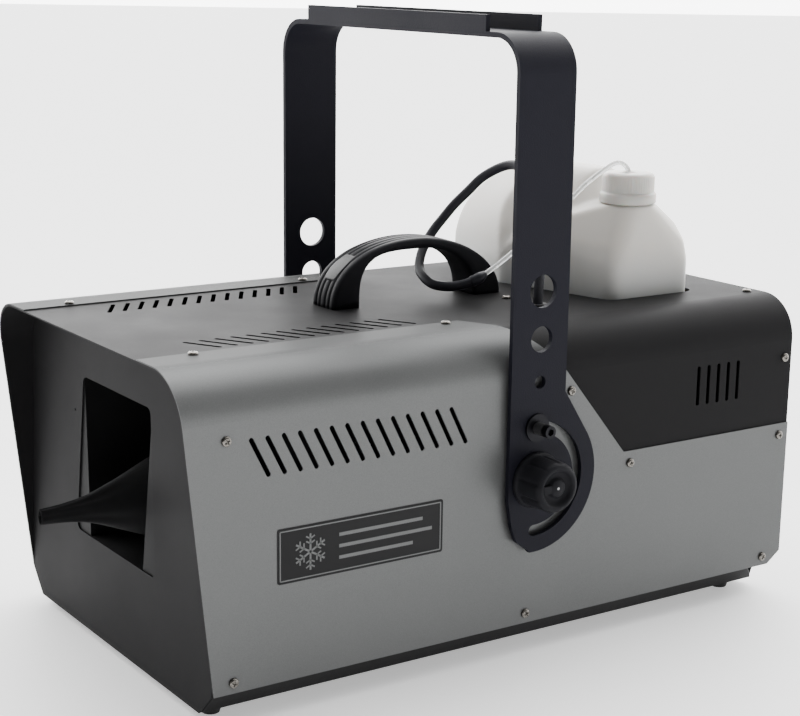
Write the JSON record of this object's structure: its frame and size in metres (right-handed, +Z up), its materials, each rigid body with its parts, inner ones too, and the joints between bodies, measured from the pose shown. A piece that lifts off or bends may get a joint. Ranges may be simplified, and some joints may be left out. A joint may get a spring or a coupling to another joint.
{
  "type": "snow machine",
  "caption": "Sheet-metal snow and foam effects machine with a sock-covered outlet, a lift-out fluid tank, a carrying handle and a tilting hanging yoke.",
  "frame": {"origin": "on the floor, under the middle of the machine's overall box at rest, sock tip to output knob", "axes": "X to the machine's right as seen from the front's left-to-right, Y from the outlet to the rear controls, Z up"},
  "size_m": [0.3986, 0.616, 0.489],
  "materials": {
    "black_paint": "satin black coat",
    "black_plastic": "matte black plastic",
    "blower_alu": "die-cast aluminium",
    "board_blue": "blue component cases",
    "board_green": "green board lacquer",
    "brass": "machined brass",
    "cap_plastic": "white polypropylene",
    "clear_plastic": "clear flexible plastic",
    "dark_paint": "satin charcoal powder coat",
    "handle_plastic": "fine-grained black plastic",
    "hose_rubber": "smooth black rubber hose",
    "label_black": "glossy printed film",
    "motor_paint": "grey motor enamel",
    "rocker_red": "red translucent rocker",
    "rubber_black": "matte black rubber",
    "screw_dark": "dull dark zinc",
    "silver_paint": "satin silver metallic coat",
    "sock_fabric": "black woven cloth",
    "steel": "plain steel",
    "tank_plastic": "translucent white polyethylene",
    "transformer_iron": "varnished laminations",
    "white_plastic": "white nylon",
    "yoke_paint": "satin near-black powder coat",
    "zinc": "bright zinc plate"
  },
  "bodies": {
    "housing": {"base_tray": "dark_paint", "feet": "rubber_black", "front_panel": "dark_paint", "top_cover": "dark_paint", "side_panel_right": "silver_paint", "side_panel_left": "silver_paint", "rear_panel": "dark_paint", "cover_screws": "zinc", "socket_screws": "zinc", "handle_screws": "zinc", "name_plate": "label_black", "outlet_duct": "black_paint", "nozzle_pipe": "black_plastic", "snow_sock": "sock_fabric", "spray_nozzle": "brass", "blower_housing": "black_plastic", "blower_motor": "motor_paint", "blower_stand": "steel", "pump": "motor_paint", "pump_bracket": "steel", "pump_hose": "hose_rubber", "control_board": "board_green", "board_parts": "board_blue", "board_posts": "white_plastic", "transformer": "transformer_iron", "terminal_block": "white_plastic", "tank_tray": "dark_paint", "clear_tube": "clear_plastic", "black_hose": "hose_rubber", "hose_grommet": "rubber_black", "handle": "handle_plastic", "handle_inserts": "black_plastic", "pivot_washers": "white_plastic", "pivot_nuts": "steel", "guide_screws": "screw_dark", "guide_washers": "screw_dark", "guide_sleeves": "rubber_black", "mains_inlet": "black_plastic", "switch_frame": "black_plastic", "potentiometer": "steel", "remote_socket": "screw_dark"},
    "yoke": {"yoke": "yoke_paint"},
    "knob_right": {"knob_right": "handle_plastic", "knob_stud_right": "zinc"},
    "knob_left": {"knob_left": "handle_plastic", "knob_stud_left": "zinc"},
    "blower_rotor": {"impeller": "blower_alu", "motor_shaft": "steel"},
    "tank": {"tank": "tank_plastic", "pickup_tube": "clear_plastic"},
    "tank_cap": {"tank_cap": "cap_plastic"},
    "power_rocker": {"switch_rocker": "rocker_red"},
    "fuse_drawer": {"fuse_drawer": "black_plastic"},
    "output_knob": {"output_knob": "handle_plastic"}
  },
  "joints": [
    {"name": "yoke_tilt", "type": "hinge", "parent": "housing", "child": "yoke", "pos_m": [0, 0.018, 0.1435], "axis": [1, 0, 0], "range_deg": [0, 110]},
    {"name": "knob_right_turn", "type": "hinge", "parent": "housing", "child": "knob_right", "pos_m": [0.18, 0.018, 0.1435], "axis": [1, 0, 0], "continuous": true},
    {"name": "knob_left_turn", "type": "hinge", "parent": "housing", "child": "knob_left", "pos_m": [-0.18, 0.018, 0.1435], "axis": [-1, 0, 0], "continuous": true},
    {"name": "blower_spin", "type": "hinge", "parent": "housing", "child": "blower_rotor", "pos_m": [0, -0.105, 0.122], "axis": [0, 1, 0], "continuous": true},
    {"name": "tank_lift", "type": "slide", "parent": "housing", "child": "tank", "axis": [0, 0, 1], "range_m": [0, 0.045], "deforming": ["clear_tube"]},
    {"name": "cap_turn", "type": "hinge", "parent": "tank", "child": "tank_cap", "pos_m": [0.0665, 0.189, 0.34], "axis": [0, 0, 1], "continuous": true},
    {"name": "power_switch", "type": "hinge", "parent": "housing", "child": "power_rocker", "pos_m": [-0.036, 0.2922, 0.072], "axis": [1, 0, 0], "range_deg": [0, 18]},
    {"name": "fuse_drawer_slide", "type": "slide", "parent": "housing", "child": "fuse_drawer", "axis": [0, 1, 0], "range_m": [0, 0.02]},
    {"name": "output_turn", "type": "hinge", "parent": "housing", "child": "output_knob", "pos_m": [0.02, 0.3, 0.072], "axis": [0, 1, 0], "range_deg": [0, 280]}
  ]
}
